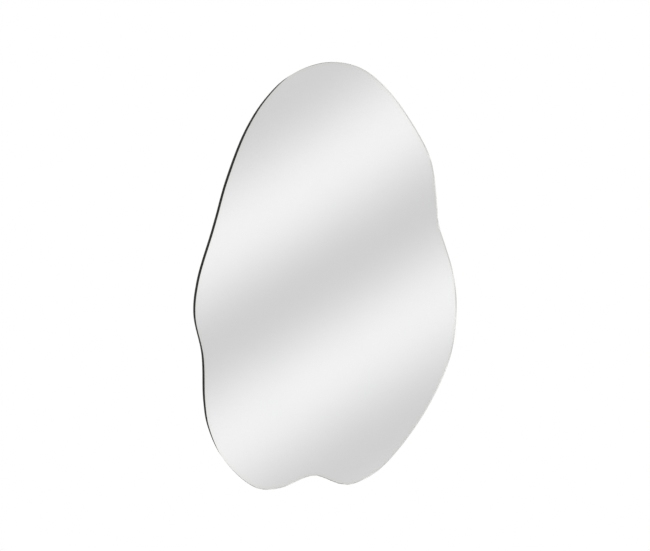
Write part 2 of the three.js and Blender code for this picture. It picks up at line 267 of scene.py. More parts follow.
# Marks the eased edges, which the lacquer paints lighter grey: partly wear, partly a painted edge highlight.
rubbed_and_highlit_edge = board.data.attributes.new("rubbed_and_highlit_edge", "FLOAT", "POINT")
for vertex in board.data.vertices:
    depth = min(board_back - vertex.co.y, vertex.co.y - board_front)
    rubbed_and_highlit_edge.data[vertex.index].value = 1 if 0 < depth < WORN_AND_HIGHLIT_DEPTH else 0

board.data.materials.append(black_lacquer())
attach(board, "panel")
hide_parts("backing_board")


# ----------------------------------------------------------------------------------------------------------
# Strap hangers. Each is a strip of 1 mm steel, blanked with round ends, punched for two screws, and folded
# back on itself round the straight bar of a D ring. The folded blank is barrel-plated with bright zinc.
# ----------------------------------------------------------------------------------------------------------

SHEET = 1.0 * MM
SHEET_EDGE_ROUND = 0.18 * MM
SHEET_EDGE_STEPS = 3
FOLD_GAP = 0.1 * MM
FOLD_BACK_RADIUS = 1.0 * MM
FOLD_CLOSING_ANGLE = 60
FOLD_STEPS = 40
BACK_BEND_STEPS = 10
END_STEPS = 12
END_FIRST_ANGLE = 4
PUNCH_RADIUS = 2.3 * MM
SIDES = ("left", "right")

ring_axis = {joint["child"].split("_")[0]: Vector(joint["pos_m"]) for joint in frame["joints"]}


def rounded_rectangle(half_width, half_height, radius, steps):
    """An anticlockwise ring of points with that many steps in each corner."""
    across, up = half_width - radius, half_height - radius
    corners = [(across, up), (-across, up), (-across, -up), (across, -up)]
    rounds = [arc(corner, radius, 90 * turn, 90 * turn + 90, steps) for turn, corner in enumerate(corners)]
    return sum(rounds, [])


def fold_line(eye_height, eye_radius, low_end, end_radius):
    """The middle line of the folded strip in (height off the board, distance up it) from the eye. It runs up
    the board, round the ring's bar and back down on top of itself, with closer steps in both round ends."""
    bend = eye_radius + SHEET / 2
    back_bend = FOLD_BACK_RADIUS + SHEET / 2
    lower, upper = SHEET / 2, 1.5 * SHEET + FOLD_GAP
    closing = math.radians(FOLD_CLOSING_ANGLE)
    leave = Vector((eye_height + bend * math.cos(closing), -bend * math.sin(closing)))
    drop = back_bend * (1 - math.cos(closing))
    slope = (leave.x - drop - upper) / math.sin(closing)
    centre = (upper + back_bend, leave.y - slope * math.cos(closing) - back_bend * math.sin(closing))
    quarter = arc((0, 0), end_radius, END_FIRST_ANGLE, 90, END_STEPS)
    ends = [low_end + end_radius - point.x for point in quarter]
    return ([Vector((lower, end)) for end in ends]
            + arc((eye_height, 0), bend, 180, -FOLD_CLOSING_ANGLE, FOLD_STEPS)
            + arc(centre, back_bend, 180 - FOLD_CLOSING_ANGLE, 180, BACK_BEND_STEPS)
            + [Vector((upper, end)) for end in reversed(ends)])


def folded_strap(axis, low, high):
    """The strip lofted along its fold line, narrowing to a round end on both layers."""
    radius = (high.x - low.x) / 2
    low_end = low.z - axis.z
    line = fold_line(axis.y - board_back, high.y - axis.y - SHEET, low_end, radius)
    rings = []
    for i, point in enumerate(line):
        along = (line[min(i + 1, len(line) - 1)] - line[max(i - 1, 0)]).normalized()
        from_tip = min(point.y - low_end, radius)
        half_width = math.sqrt(radius ** 2 - (radius - from_tip) ** 2)
        section = rounded_rectangle(half_width, SHEET / 2, SHEET_EDGE_ROUND, SHEET_EDGE_STEPS)
        rings.append([
            (axis.x + aside, board_back + point.x - along.y * through, axis.z + point.y + along.x * through)
            for aside, through in section])
    return loft(rings)


def zinc_plate():
    """Bright zinc barrel-plated on pressed steel. It is a cool light grey, cloudy where the passivation is
    thicker, with tumbling marks too fine to see that are drawn at 0.5 mm."""
    cloud_size, grain_size = 3.5 * MM, 0.5 * MM
    material, tree, place = new_finish("zinc_plated_steel")
    cloud = add_node(tree, "ShaderNodeTexNoise", [
        ("Vector", place), ("Scale", 1 / cloud_size), ("Detail", 4)])
    tone = add_node(tree, "ShaderNodeValToRGB", [("Fac", cloud)], [(0.35, "#C4CACE"), (0.68, "#DBDBD7")])
    gloss = add_node(tree, "ShaderNodeMapRange", [("Value", cloud), ("To Min", 0.34), ("To Max", 0.48)])
    grain = add_node(tree, "ShaderNodeTexNoise", [
        ("Vector", place), ("Scale", 1 / grain_size), ("Detail", 2)])
    relief = add_node(tree, "ShaderNodeBump", [
        ("Height", grain), ("Strength", 0.3), ("Distance", 0.01 * MM)])
    plating = add_node(tree, "ShaderNodeBsdfPrincipled", [
        ("Base Color", tone.outputs["Color"]), ("Metallic", 1), ("Roughness", gloss), ("Normal", relief)])
    add_node(tree, "ShaderNodeOutputMaterial", [("Surface", plating)])
    return material


zinc = zinc_plate()
for side in SIDES:
    axis = ring_axis[side]
    low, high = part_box(f"hanger_strap_{side}")
    strap = made(f"folded_strap_{side}", folded_strap(axis, low, high))
    punch_profile = [(PUNCH_RADIUS, high.y), (PUNCH_RADIUS, low.y - SHEET)]
    cut_out(strap, [
        made(f"punch_{name}", turned(punch_profile, DRILL_SIDES, middle_of(name).x, middle_of(name).z))
        for name in SCREWS if side in name])
    strap.data.materials.append(zinc)
    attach(strap, "panel")
    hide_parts(f"hanger_strap_{side}")


# ----------------------------------------------------------------------------------------------------------
# D rings. Each is bent from 2.6 mm round steel wire, with its butt joint hidden in the strap's eye, and is
# plated like the straps. Its straight bar turns in the eye, and its bow takes the wall hook.
# ----------------------------------------------------------------------------------------------------------

RING_CORNER_RADIUS = 3.5 * MM
RING_CORNER_STEPS = 32
BOW_SHARE = 0.499
WIRE_STEP = 0.55 * MM
WIRE_SIDES = 20


def start_tree(name, inputs):
    """A Geometry Nodes tree with a named input for each (name, kind of socket), and its input node."""
    tree = bpy.data.node_groups.new(name, "GeometryNodeTree")
    for label, kind in [("Geometry", "Geometry"), *inputs, ("Finish", "Material")]:
        tree.interface.new_socket(label, in_out="INPUT", socket_type=f"NodeSocket{kind}")
    tree.interface.new_socket("Geometry", in_out="OUTPUT", socket_type="NodeSocketGeometry")
    return tree, tree.nodes.new("NodeGroupInput").outputs


def end_tree(tree, given, geometry):
    """Ends the tree in real geometry with the given finish."""
    real = add_node(tree, "GeometryNodeRealizeInstances", [("Geometry", geometry)])
    painted = add_node(tree, "GeometryNodeSetMaterial", [("Geometry", real), ("Material", given["Finish"])])
    add_node(tree, "NodeGroupOutput", [("Geometry", painted)])


def grown(name, tree, values, points=(), edges=()):
    """The plain mesh that the tree makes of the points and edges, with its inputs set by identifier."""
    mesh = bpy.data.meshes.new(name)
    mesh.from_pydata(points, edges, [])
    piece = bpy.data.objects.new(name, mesh)
    bpy.context.scene.collection.objects.link(piece)
    modifier = piece.modifiers.new(tree.name, "NODES")
    modifier.node_group = tree
    for socket in tree.interface.items_tree:
        if socket.in_out == "INPUT" and socket.name in values:
            modifier[socket.identifier] = values[socket.name]
    settle(piece)
    return piece


def bent_ring_tree():
    """A D of wire: a rectangle with small corners at the bar, and at the bow with corners of almost half its
    width, which make a half round. A circle is swept along it, and it is leaned against the board."""
    tree, given = start_tree("bent_ring", [
        ("Width", "Float"), ("Reach", "Float"), ("Corner radius", "Float"), ("Corner steps", "Int"),
        ("Bow share", "Float"), ("Wire radius", "Float"), ("Step", "Float"), ("Sides", "Int"),
        ("Lean", "Float"), ("Bar place", "Vector")])
    blank = add_node(tree, "GeometryNodeCurvePrimitiveQuadrilateral", [
        ("Width", given["Width"]), ("Height", given["Reach"])])
    place = add_node(tree, "GeometryNodeInputPosition")
    height = add_node(tree, "ShaderNodeSeparateXYZ", [("Vector", place)]).outputs["Y"]
    at_bow = add_node(tree, "ShaderNodeMath", [("Value", height), ("Value", 0.0)], operation="GREATER_THAN")
    bow = add_node(tree, "ShaderNodeMath", [
        ("Value", given["Width"]), ("Value", given["Bow share"])], operation="MULTIPLY")
    radius = add_node(tree, "ShaderNodeMix", [
        ("Factor", at_bow), ("A", given["Corner radius"]), ("B", bow)], data_type="FLOAT")
    bent = add_node(tree, "GeometryNodeFilletCurve", [
        ("Curve", blank), ("Count", given["Corner steps"]), ("Radius", radius), ("Limit Radius", True)],
        mode="POLY")
    even = add_node(tree, "GeometryNodeResampleCurve", [
        ("Curve", bent), ("Length", given["Step"])], mode="LENGTH")
    section = add_node(tree, "GeometryNodeCurvePrimitiveCircle", [
        ("Resolution", given["Sides"]), ("Radius", given["Wire radius"])])
    wire = add_node(tree, "GeometryNodeCurveToMesh", [("Curve", even), ("Profile Curve", section)])
    half_reach = add_node(tree, "ShaderNodeMath", [
        ("Value", given["Reach"]), ("Value", 0.5)], operation="MULTIPLY")
    to_bar = add_node(tree, "ShaderNodeCombineXYZ", [("Y", half_reach)])
    from_bar = add_node(tree, "GeometryNodeTransform", [("Geometry", wire), ("Translation", to_bar)])
    turn = add_node(tree, "ShaderNodeMath", [
        ("Value", given["Lean"]), ("Value", math.pi / 2)], operation="ADD")
    upright = add_node(tree, "ShaderNodeCombineXYZ", [("X", turn)])
    leaned = add_node(tree, "GeometryNodeTransform", [
        ("Geometry", from_bar), ("Translation", given["Bar place"]), ("Rotation", upright)])
    end_tree(tree, given, add_node(tree, "GeometryNodeSetShadeSmooth", [("Geometry", leaned)]))
    return tree


ring_tree = bent_ring_tree()
for side in SIDES:
    axis = ring_axis[side]
    low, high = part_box(f"d_ring_{side}")
    wire_radius = axis.z - low.z
    bow_end = Vector((axis.y - wire_radius - low.y, high.z - wire_radius - axis.z))
    ring = grown(f"bent_ring_{side}", ring_tree, {
        "Width": high.x - low.x - 2 * wire_radius, "Reach": bow_end.length,
        "Corner radius": RING_CORNER_RADIUS, "Corner steps": RING_CORNER_STEPS, "Bow share": BOW_SHARE,
        "Wire radius": wire_radius, "Step": WIRE_STEP, "Sides": WIRE_SIDES,
        "Lean": math.atan2(bow_end.x, bow_end.y), "Bar place": axis, "Finish": zinc})
    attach(ring, f"{side}_ring")
    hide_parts(f"d_ring_{side}")


# ----------------------------------------------------------------------------------------------------------
# Screws. Four 4 x 14 mm pan-head wood screws, cold-headed with a tapered cross recess, thread-rolled to the
# point and zinc-plated. They stand on the straps with their recesses turned as they came to rest.
# ----------------------------------------------------------------------------------------------------------

SCREW_LENGTH = 14 * MM
HEAD_RADIUS = 4 * MM
HEAD_HEIGHT = 2.3 * MM
HEAD_RIM = 0.8 * MM
HEAD_EDGE = 0.1 * MM
DOME_FIRST_ANGLE = 88
DOME_STEPS = 10
SHANK_RADIUS = 2.0 * MM
SHANK_FILLET = 0.2 * MM
NECK_LENGTH = 2.4 * MM
THREAD_CORE = 1.3 * MM
THREAD_PITCH = 1.8 * MM
THREAD_ROWS = 9
THREAD_SHARE = 0.22
TIP_LENGTH = 4.0 * MM
TIP_SHARE = 0.06
SCREW_SIDES = 36
RECESS_LENGTH = 4.4 * MM
RECESS_WIDTH = 1.0 * MM
RECESS_DEPTH = 1.4 * MM
RECESS_NARROWING = 0.5


def screw_skin():
    """A screw along -Y from the underside of its head, with one thread wound round its core."""
    dome = arc((0, 0), 1, DOME_FIRST_ANGLE, 0, DOME_STEPS)
    profile = [(HEAD_RADIUS * p.x, HEAD_RIM + (HEAD_HEIGHT - HEAD_RIM) * p.y) for p in dome]
    profile += [(HEAD_RADIUS, HEAD_EDGE), (HEAD_RADIUS - HEAD_EDGE, 0)]
    profile += [(SHANK_RADIUS + SHANK_FILLET, 0), (SHANK_RADIUS, -SHANK_FILLET)]
    rings = [[(p.x, y, p.y) for p in arc((0, 0), radius, 0, 360, SCREW_SIDES)[:-1]]
             for radius, y in profile]
    thread_length = SCREW_LENGTH - NECK_LENGTH
    rows = round(thread_length / THREAD_PITCH * THREAD_ROWS)
    for row in range(rows + 1):
        y = -NECK_LENGTH - thread_length * row / rows
        taper = min(1, TIP_SHARE + (SCREW_LENGTH + y) / TIP_LENGTH)
        ring = []
        for side in range(SCREW_SIDES):
            phase = (side / SCREW_SIDES + y / THREAD_PITCH) % 1
            crest = max(0, 1 - abs(phase - 0.5) / THREAD_SHARE)
            radius = taper * (THREAD_CORE + (SHANK_RADIUS - THREAD_CORE) * crest)
            turn = 2 * math.pi * side / SCREW_SIDES
            ring.append((radius * math.cos(turn), y, radius * math.sin(turn)))
        rings.append(ring)
    return loft(rings)


def recess_punch():
    """The punch that heads the cross recess: a cross that narrows towards its end."""
    long, wide = RECESS_LENGTH / 2, RECESS_WIDTH / 2
    quarter = [(long, -wide), (long, wide), (wide, wide)]
    cross = []
    for cos, sin in ((1, 0), (0, 1), (-1, 0), (0, -1)):
        cross += [(x * cos - z * sin, x * sin + z * cos) for x, z in quarter]
    levels = [(1 / RECESS_NARROWING, HEAD_HEIGHT + RECESS_DEPTH), (1, HEAD_HEIGHT),
              (RECESS_NARROWING, HEAD_HEIGHT - RECESS_DEPTH)]
    return loft([[(x * share, y, z * share) for x, z in cross] for share, y in levels])


def copies_tree():
    """Copies of one piece on points, each turned about Y by chance."""
    tree, given = start_tree("copies_on_points", [
        ("Piece", "Object"), ("Greatest turn", "Float"), ("Seed", "Int")])
    source = add_node(tree, "GeometryNodeObjectInfo", [("Object", given["Piece"])])
    most = add_node(tree, "ShaderNodeCombineXYZ", [("Y", given["Greatest turn"])])
    turn = add_node(tree, "FunctionNodeRandomValue", [
        ("Min", (0, 0, 0)), ("Max", most), ("Seed", given["Seed"])], data_type="FLOAT_VECTOR")
    placed = add_node(tree, "GeometryNodeInstanceOnPoints", [
        ("Points", given["Geometry"]), ("Instance", source.outputs["Geometry"]), ("Rotation", turn)])
    end_tree(tree, given, placed)
    return tree


screw = made("one_screw", screw_skin())
screw.data.materials.append(zinc)
cut_out(screw, [made("recess_punch", recess_punch())])
copies = copies_tree()
head_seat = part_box(SCREWS[0])[0].y + SCREW_LENGTH
screw_places = [(middle_of(name).x, head_seat, middle_of(name).z) for name in SCREWS]
screws = grown("pan_head_screws", copies, {
    "Piece": screw, "Greatest turn": math.pi / 2, "Seed": 7, "Finish": zinc}, screw_places)
bpy.data.objects.remove(screw)
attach(screws, "panel")
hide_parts(*SCREWS)


# ----------------------------------------------------------------------------------------------------------
# Bumpers. Four feet of black rubber, compression-moulded with a soft corner, and bonded to the board's back
# near its edge. They keep the board off the wall and level with the hangers.
# ----------------------------------------------------------------------------------------------------------

BUMPER_CORNER = 1.2 * MM
BUMPER_CORNER_STEPS = 8
BUMPER_FOOT_ROUND = 0.3 * MM
BUMPER_FOOT_STEPS = 4
BUMPER_SIDES = 48
BUMPERS = sorted(name for name in frame["nodes"] if name.startswith("bumper"))


def moulded_rubber():
    """Black rubber, moulded in a blasted tool. It is dark, chalky and even, with a fine matt grain that is
    drawn at 0.6 mm."""
    grain_size, bloom_size = 0.6 * MM, 5 * MM
    material, tree, place = new_finish("moulded_black_rubber")
    bloom = add_node(tree, "ShaderNodeTexNoise", [
        ("Vector", place), ("Scale", 1 / bloom_size), ("Detail", 3)])
    tone = add_node(tree, "ShaderNodeValToRGB", [("Fac", bloom)], [(0.35, "#333436"), (0.70, "#3E3F41")])
    grain = add_node(tree, "ShaderNodeTexNoise", [
        ("Vector", place), ("Scale", 1 / grain_size), ("Detail", 3)])
    gloss = add_node(tree, "ShaderNodeMapRange", [("Value", bloom), ("To Min", 0.72), ("To Max", 0.88)])
    relief = add_node(tree, "ShaderNodeBump", [
        ("Height", grain), ("Strength", 0.5), ("Distance", 0.05 * MM)])
    rubber = add_node(tree, "ShaderNodeBsdfPrincipled", [
        ("Base Color", tone.outputs["Color"]), ("Roughness", gloss), ("Normal", relief),
        ("Specular IOR Level", 0.35)])
    add_node(tree, "ShaderNodeOutputMaterial", [("Surface", rubber)])
    return material


low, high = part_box(BUMPERS[0])
bumper_radius = (high.x - low.x) / 2
bumper_height = high.y - low.y
corner_centre = (bumper_radius - BUMPER_CORNER, bumper_height - BUMPER_CORNER)
soft_corner = arc(corner_centre, BUMPER_CORNER, 90, 0, BUMPER_CORNER_STEPS)
foot_centre = (bumper_radius - BUMPER_FOOT_ROUND, BUMPER_FOOT_ROUND)
foot = arc(foot_centre, BUMPER_FOOT_ROUND, 0, -90, BUMPER_FOOT_STEPS)
rubber = moulded_rubber()
bumper = made("one_bumper", turned(soft_corner + foot, BUMPER_SIDES))
bumper.data.materials.append(rubber)
bumper_places = [(middle_of(name).x, low.y, middle_of(name).z) for name in BUMPERS]
wall_bumpers = grown("wall_bumpers", copies, {
    "Piece": bumper, "Greatest turn": math.pi, "Seed": 3, "Finish": rubber}, bumper_places)
bpy.data.objects.remove(bumper)
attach(wall_bumpers, "panel")
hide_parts(*BUMPERS)


# ----------------------------------------------------------------------------------------------------------
# Foam tapes. Five upright strips of closed-cell polyethylene foam tape, slit from a roll and pressed between
# the board and the pane, so that their sides bulge a little. They hold the pane while the adhesive cures.
# ----------------------------------------------------------------------------------------------------------

TAPE_CORNER = 0.6 * MM
TAPE_CORNER_STEPS = 4
TAPE_BULGE = 0.25 * MM
TAPE_BULGE_STEPS = 12
TAPES = sorted(name for name in frame["nodes"] if name.startswith("foam_tape"))


def cell_foam():
    """Black closed-cell polyethylene foam. Its slit sides show cut cells of about 0.5 mm."""
    cell_size = 0.5 * MM
    material, tree, place = new_finish("closed_cell_foam")
    cells = add_node(tree, "ShaderNodeTexVoronoi", [("Vector", place), ("Scale", 1 / cell_size)])
    tone = add_node(tree, "ShaderNodeValToRGB", [("Fac", cells)], [(0.15, "#141413"), (0.75, "#2C2C2A")])
    relief = add_node(tree, "ShaderNodeBump", [
        ("Height", cells), ("Strength", 0.8), ("Distance", 0.1 * MM)])
    foam = add_node(tree, "ShaderNodeBsdfPrincipled", [
        ("Base Color", tone.outputs["Color"]), ("Roughness", 0.9), ("Normal", relief)])
    add_node(tree, "ShaderNodeOutputMaterial", [("Surface", foam)])
    return material


foam = cell_foam()
for number, name in enumerate(TAPES, 1):
    low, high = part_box(name)
    middle, half = (low + high) / 2, (high - low) / 2
    strip = [p + Vector((middle.x, middle.z))
             for p in rounded_rectangle(half.x, half.z, TAPE_CORNER, TAPE_CORNER_STEPS)]
    bulge = [(TAPE_BULGE * (1 - p.x), middle.y + half.y * p.y)
             for p in arc((0, 0), 1, 90, -90, TAPE_BULGE_STEPS)]
    tape = made(f"tape_strip_{number}", plate(strip, bulge))
    tape.data.materials.append(foam)
    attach(tape, "panel")
    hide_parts(name)


# ----------------------------------------------------------------------------------------------------------
# Adhesive beads. Four beads of neutral-cure mirror adhesive, run from a gun between the tapes and squeezed
# flat when the pane is laid on. Their width wanders with the speed of the hand, and their ends are round.
# ----------------------------------------------------------------------------------------------------------

BEAD_STEP = 4 * MM
BEAD_SIDES = 28
BEAD_WANDER = 0.16
BEAD_WANDER_LENGTH = 28 * MM
BEAD_LEAST_RADIUS = 0.2 * MM
BEADS = sorted(name for name in frame["nodes"] if name.startswith("adhesive_bead"))


def squeezed_bead_tree():
    """A round bead along each edge, thinned to nothing in a round end and by chance along its run, and then
    squeezed flat between the board and the pane."""
    tree, given = start_tree("squeezed_bead", [
        ("Width", "Float"), ("Thickness", "Float"), ("Level", "Float"), ("Step", "Float"), ("Sides", "Int"),
        ("Least radius", "Float"), ("Wander", "Float"), ("Wander length", "Float"), ("Seed", "Float")])
    run = add_node(tree, "GeometryNodeMeshToCurve", [("Mesh", given["Geometry"])])
    even = add_node(tree, "GeometryNodeResampleCurve", [
        ("Curve", run), ("Length", given["Step"])], mode="LENGTH")
    half = add_node(tree, "ShaderNodeMath", [
        ("Value", given["Width"]), ("Value", 0.5)], operation="MULTIPLY")
    done = add_node(tree, "GeometryNodeSplineParameter").outputs["Length"]
    total = add_node(tree, "GeometryNodeSplineLength")
    left = add_node(tree, "ShaderNodeMath", [("Value", total), ("Value", done)], operation="SUBTRACT")
    nearer = add_node(tree, "ShaderNodeMath", [("Value", done), ("Value", left)], operation="MINIMUM")
    share = add_node(tree, "ShaderNodeMath", [("Value", nearer), ("Value", half)], operation="DIVIDE")
    capped = add_node(tree, "ShaderNodeMath", [("Value", share), ("Value", 1.0)], operation="MINIMUM")
    rest = add_node(tree, "ShaderNodeMath", [("Value", 2.0), ("Value", capped)], operation="SUBTRACT")
    squared = add_node(tree, "ShaderNodeMath", [("Value", capped), ("Value", rest)], operation="MULTIPLY")
    end = add_node(tree, "ShaderNodeMath", [("Value", squared)], operation="SQRT")
    wave = add_node(tree, "ShaderNodeMath", [
        ("Value", 1.0), ("Value", given["Wander length"])], operation="DIVIDE")
    chance = add_node(tree, "ShaderNodeTexNoise", [
        ("W", given["Seed"]), ("Scale", wave), ("Detail", 3)], noise_dimensions="4D")
    less = add_node(tree, "ShaderNodeMath", [
        ("Value", chance), ("Value", given["Wander"])], operation="MULTIPLY")
    kept = add_node(tree, "ShaderNodeMath", [("Value", 1.0), ("Value", less)], operation="SUBTRACT")
    sized = add_node(tree, "ShaderNodeMath", [("Value", end), ("Value", kept)], operation="MULTIPLY")
    radius = add_node(tree, "ShaderNodeMath", [("Value", sized), ("Value", half)], operation="MULTIPLY")
    safe = add_node(tree, "ShaderNodeMath", [
        ("Value", radius), ("Value", given["Least radius"])], operation="MAXIMUM")
    run_out = add_node(tree, "GeometryNodeSetCurveRadius", [("Curve", even), ("Radius", safe)])
    section = add_node(tree, "GeometryNodeCurvePrimitiveCircle", [
        ("Resolution", given["Sides"]), ("Radius", 1.0)])
    bead = add_node(tree, "GeometryNodeCurveToMesh", [
        ("Curve", run_out), ("Profile Curve", section), ("Scale", safe), ("Fill Caps", True)])
    place = add_node(tree, "ShaderNodeSeparateXYZ", [
        ("Vector", add_node(tree, "GeometryNodeInputPosition"))])
    half_gap = add_node(tree, "ShaderNodeMath", [
        ("Value", given["Thickness"]), ("Value", 0.5)], operation="MULTIPLY")
    bottom = add_node(tree, "ShaderNodeMath", [
        ("Value", given["Level"]), ("Value", half_gap)], operation="SUBTRACT")
    top = add_node(tree, "ShaderNodeMath", [
        ("Value", given["Level"]), ("Value", half_gap)], operation="ADD")
    squeezed = add_node(tree, "ShaderNodeClamp", [
        ("Value", place.outputs["Y"]), ("Min", bottom), ("Max", top)])
    flat_place = add_node(tree, "ShaderNodeCombineXYZ", [
        ("X", place.outputs["X"]), ("Y", squeezed), ("Z", place.outputs["Z"])])
    flat = add_node(tree, "GeometryNodeSetPosition", [("Geometry", bead), ("Position", flat_place)])
    end_tree(tree, given, flat)
    return tree


def cured_adhesive():
    """Neutral-cure mirror adhesive, off-white and slightly rubbery, with a faint skin of ripples from the
    nozzle at about 2 mm."""
    ripple_size = 2 * MM
    material, tree, place = new_finish("cured_mirror_adhesive")
    ripple = add_node(tree, "ShaderNodeTexNoise", [
        ("Vector", place), ("Scale", 1 / ripple_size), ("Detail", 2)])
    tone = add_node(tree, "ShaderNodeValToRGB", [("Fac", ripple)], [(0.30, "#D0CABA"), (0.70, "#DEDACC")])
    relief = add_node(tree, "ShaderNodeBump", [
        ("Height", ripple), ("Strength", 0.4), ("Distance", 0.2 * MM)])
    adhesive = add_node(tree, "ShaderNodeBsdfPrincipled", [
        ("Base Color", tone.outputs["Color"]), ("Roughness", 0.45), ("Normal", relief)])
    add_node(tree, "ShaderNodeOutputMaterial", [("Surface", adhesive)])
    return material


bead_tree = squeezed_bead_tree()
adhesive = cured_adhesive()
for number, name in enumerate(BEADS, 1):
    low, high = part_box(name)
    middle = (low + high) / 2
    ends = [(middle.x, middle.y, low.z), (middle.x, middle.y, high.z)]
    bead = grown(f"glue_bead_{number}", bead_tree, {
        "Width": high.x - low.x, "Thickness": high.y - low.y, "Level": middle.y, "Step": BEAD_STEP,
        "Sides": BEAD_SIDES, "Least radius": BEAD_LEAST_RADIUS, "Wander": BEAD_WANDER,
        "Wander length": BEAD_WANDER_LENGTH, "Seed": float(number), "Finish": adhesive}, ends, [(0, 1)])
    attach(bead, "panel")
    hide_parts(name)


# ----------------------------------------------------------------------------------------------------------
# Safety film. A woven polyethylene film with adhesive on one face, rolled on the pane's painted back and
# trimmed just inside the edge, so that broken glass stays together.
# ----------------------------------------------------------------------------------------------------------

FILM_CLEARANCE = 0.02 * MM


def woven_film():
    """Woven polyethylene slit-tape, laminated. The tapes are 2.5 mm wide and cross over and under, which
    gives a fine chequer of gloss in a grey film."""
    tape_width = 2.5 * MM
    material, tree, place = new_finish("woven_polyethylene_film")
    axes = add_node(tree, "ShaderNodeSeparateXYZ", [("Vector", place)])
    waves = []
    for axis_name in ("X", "Z"):
        turns = add_node(tree, "ShaderNodeMath", [
            ("Value", axes.outputs[axis_name]), ("Value", math.pi / tape_width)], operation="MULTIPLY")
        waves.append(add_node(tree, "ShaderNodeMath", [("Value", turns)], operation="SINE"))
    weave = add_node(tree, "ShaderNodeMath", [
        ("Value", waves[0]), ("Value", waves[1])], operation="MULTIPLY")
    chequer = add_node(tree, "ShaderNodeMapRange", [("Value", weave), ("From Min", -1.0)])
    tone = add_node(tree, "ShaderNodeValToRGB", [("Fac", chequer)], [(0.2, "#868E92"), (0.8, "#99A1A5")])
    relief = add_node(tree, "ShaderNodeBump", [
        ("Height", chequer), ("Strength", 0.5), ("Distance", 0.05 * MM)])
    film = add_node(tree, "ShaderNodeBsdfPrincipled", [
        ("Base Color", tone.outputs["Color"]), ("Roughness", 0.4), ("Normal", relief)])
    add_node(tree, "ShaderNodeOutputMaterial", [("Surface", film)])
    return material


film_front, film_back = (corner.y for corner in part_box("safety_film"))
film = made("backing_film", plate(smooth_outline("safety_film"), [
    (0, film_back), (0, film_front + FILM_CLEARANCE)]))
film.data.materials.append(woven_film())
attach(film, "panel")
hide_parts("safety_film")


# ----------------------------------------------------------------------------------------------------------
# Pane. Clear 4 mm float glass, cut to the outline by water jet, with its edge ground flat and polished and a
# small arris on both faces. Its back is silvered and painted, so the reflection comes through the glass.
# ----------------------------------------------------------------------------------------------------------

FRONT_ARRIS = 0.2 * MM
BACK_ARRIS = 0.05 * MM
SILVER_RINGS = (14 * MM, 6 * MM, 2.5 * MM)
FLAT_FACE = 0.99
# How thin the silver is at each ring of points, from the innermost on the back to the edge of the front.
THINNED_AT_RING = (0, 0.15, 0.5, 1, 1, 0, 0)


def clear_float_glass():
    """Soda-lime float glass, index 1.52, fire-polished. It is colourless face-on and green along its edge,
    from a little iron in the melt."""
    material, tree, _ = new_finish("clear_float_glass")
    face = add_node(tree, "ShaderNodeBsdfPrincipled", [
        ("Base Color", linear("#FFFFFF")), ("Roughness", 0.0), ("IOR", 1.52), ("Transmission Weight", 1.0)])
    body = add_node(tree, "ShaderNodeVolumeAbsorption", [("Color", linear("#87D5AE")), ("Density", 3.0)])
    add_node(tree, "ShaderNodeOutputMaterial", [("Surface", face), ("Volume", body)])
    return material


def ground_glass_edge():
    """The same glass, ground by a cup wheel and polished. Fine lines run round the edge, 0.3 mm apart, and
    the polish leaves it a little less clear than the face."""
    line_spacing, mark_length = 0.3 * MM, 6 * MM
    material, tree, place = new_finish("polished_glass_edge")
    marks = add_node(tree, "ShaderNodeMapping", [
        ("Vector", place), ("Scale", (1 / mark_length, 1 / line_spacing, 1 / mark_length))])
    lines = add_node(tree, "ShaderNodeTexNoise", [("Vector", marks), ("Scale", 1.0), ("Detail", 2)])
    gloss = add_node(tree, "ShaderNodeMapRange", [("Value", lines), ("To Min", 0.04), ("To Max", 0.12)])
    relief = add_node(tree, "ShaderNodeBump", [
        ("Height", lines), ("Strength", 0.15), ("Distance", 0.02 * MM)])
    edge = add_node(tree, "ShaderNodeBsdfPrincipled", [
        ("Base Color", linear("#F7FCFA")), ("Roughness", gloss), ("IOR", 1.52), ("Transmission Weight", 1.0),
        ("Normal", relief)])
    body = add_node(tree, "ShaderNodeVolumeAbsorption", [("Color", linear("#87D5AE")), ("Density", 3.0)])
    add_node(tree, "ShaderNodeOutputMaterial", [("Surface", edge), ("Volume", body)])
    return material


def mirror_silver():
    """Chemically deposited silver behind the glass. It is a neutral mirror, very slightly warm, and a shade
    darker in the last few millimetres, where the coating thins towards the cut."""
    cloud_size = 120 * MM
    material, tree, place = new_finish("mirror_silver")
    cloud = add_node(tree, "ShaderNodeTexNoise", [
        ("Vector", place), ("Scale", 1 / cloud_size), ("Detail", 2)])
    tone = add_node(tree, "ShaderNodeValToRGB", [("Fac", cloud)], [(0.3, "#F8F7F8"), (0.7, "#FAF8F9")])
    rim = add_node(tree, "ShaderNodeAttribute", attribute_name="thinned").outputs["Fac"]
    colour = add_node(tree, "ShaderNodeMix", [
        ("Factor", rim), ("A", tone.outputs["Color"]), ("B", linear("#F5F4F1"))], data_type="RGBA")
    silver = add_node(tree, "ShaderNodeBsdfPrincipled", [
        ("Base Color", colour), ("Metallic", 1.0), ("Roughness", 0.0)])
    add_node(tree, "ShaderNodeOutputMaterial", [("Surface", silver)])
    return material


glass_front, glass_back = (corner.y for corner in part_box("mirror_glass"))
pane = made("silvered_pane", plate(smooth_outline("mirror_glass"), [
    *((inset, glass_back) for inset in SILVER_RINGS), (BACK_ARRIS, glass_back), (0, glass_back - BACK_ARRIS),
    (0, glass_front + FRONT_ARRIS), (FRONT_ARRIS, glass_front)]))
for finish in (clear_float_glass(), ground_glass_edge(), mirror_silver()):
    pane.data.materials.append(finish)
for face in pane.data.polygons:
    face.material_index = 0 if face.normal.y < -FLAT_FACE else 2 if face.normal.y > FLAT_FACE else 1
ring_points = len(pane.data.vertices) // len(THINNED_AT_RING)
thinned = pane.data.attributes.new("thinned", "FLOAT", "POINT")
for vertex in pane.data.vertices:
    thinned.data[vertex.index].value = THINNED_AT_RING[vertex.index // ring_points]
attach(pane, "panel")
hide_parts("mirror_glass")


